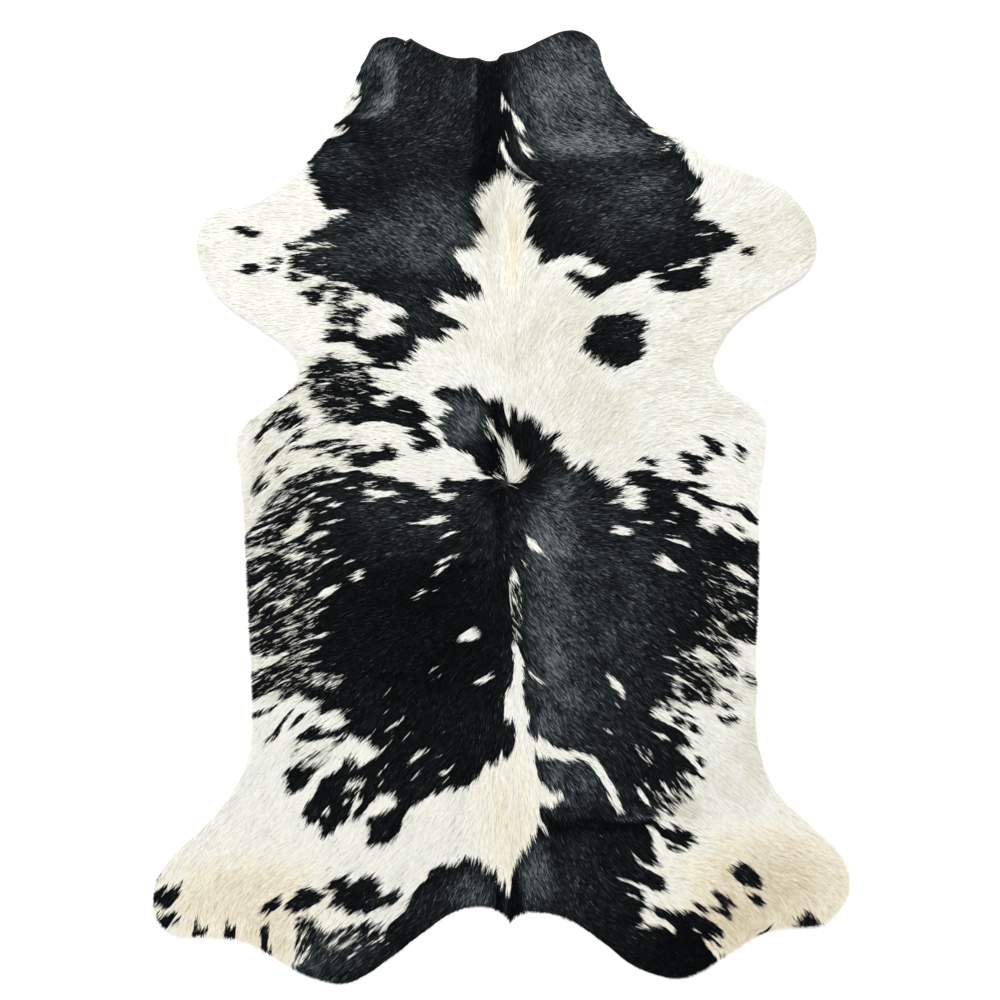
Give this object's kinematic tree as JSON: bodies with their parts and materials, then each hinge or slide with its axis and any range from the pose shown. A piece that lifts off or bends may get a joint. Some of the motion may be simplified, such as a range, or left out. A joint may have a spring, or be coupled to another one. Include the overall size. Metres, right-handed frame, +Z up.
{
  "type": "cowhide rug",
  "caption": "Whole cow hide rug, hair side up, natural outline with neck, forelegs, flanks, hind legs and tail stub, lying flat with soft shipping creases.",
  "frame": {"origin": "on the floor plane, under the middle of the hide's bounding box", "axes": "+X to the right seen from above, +Y along the spine towards the neck, +Z up out of the hair side"},
  "size_m": [1.5282, 2.0971, 0.0145],
  "materials": {
    "hide": "short glossy black and off-white hair over suede-faced tanned leather"
  },
  "bodies": {
    "root": {"hide": "hide"}
  },
  "joints": []
}
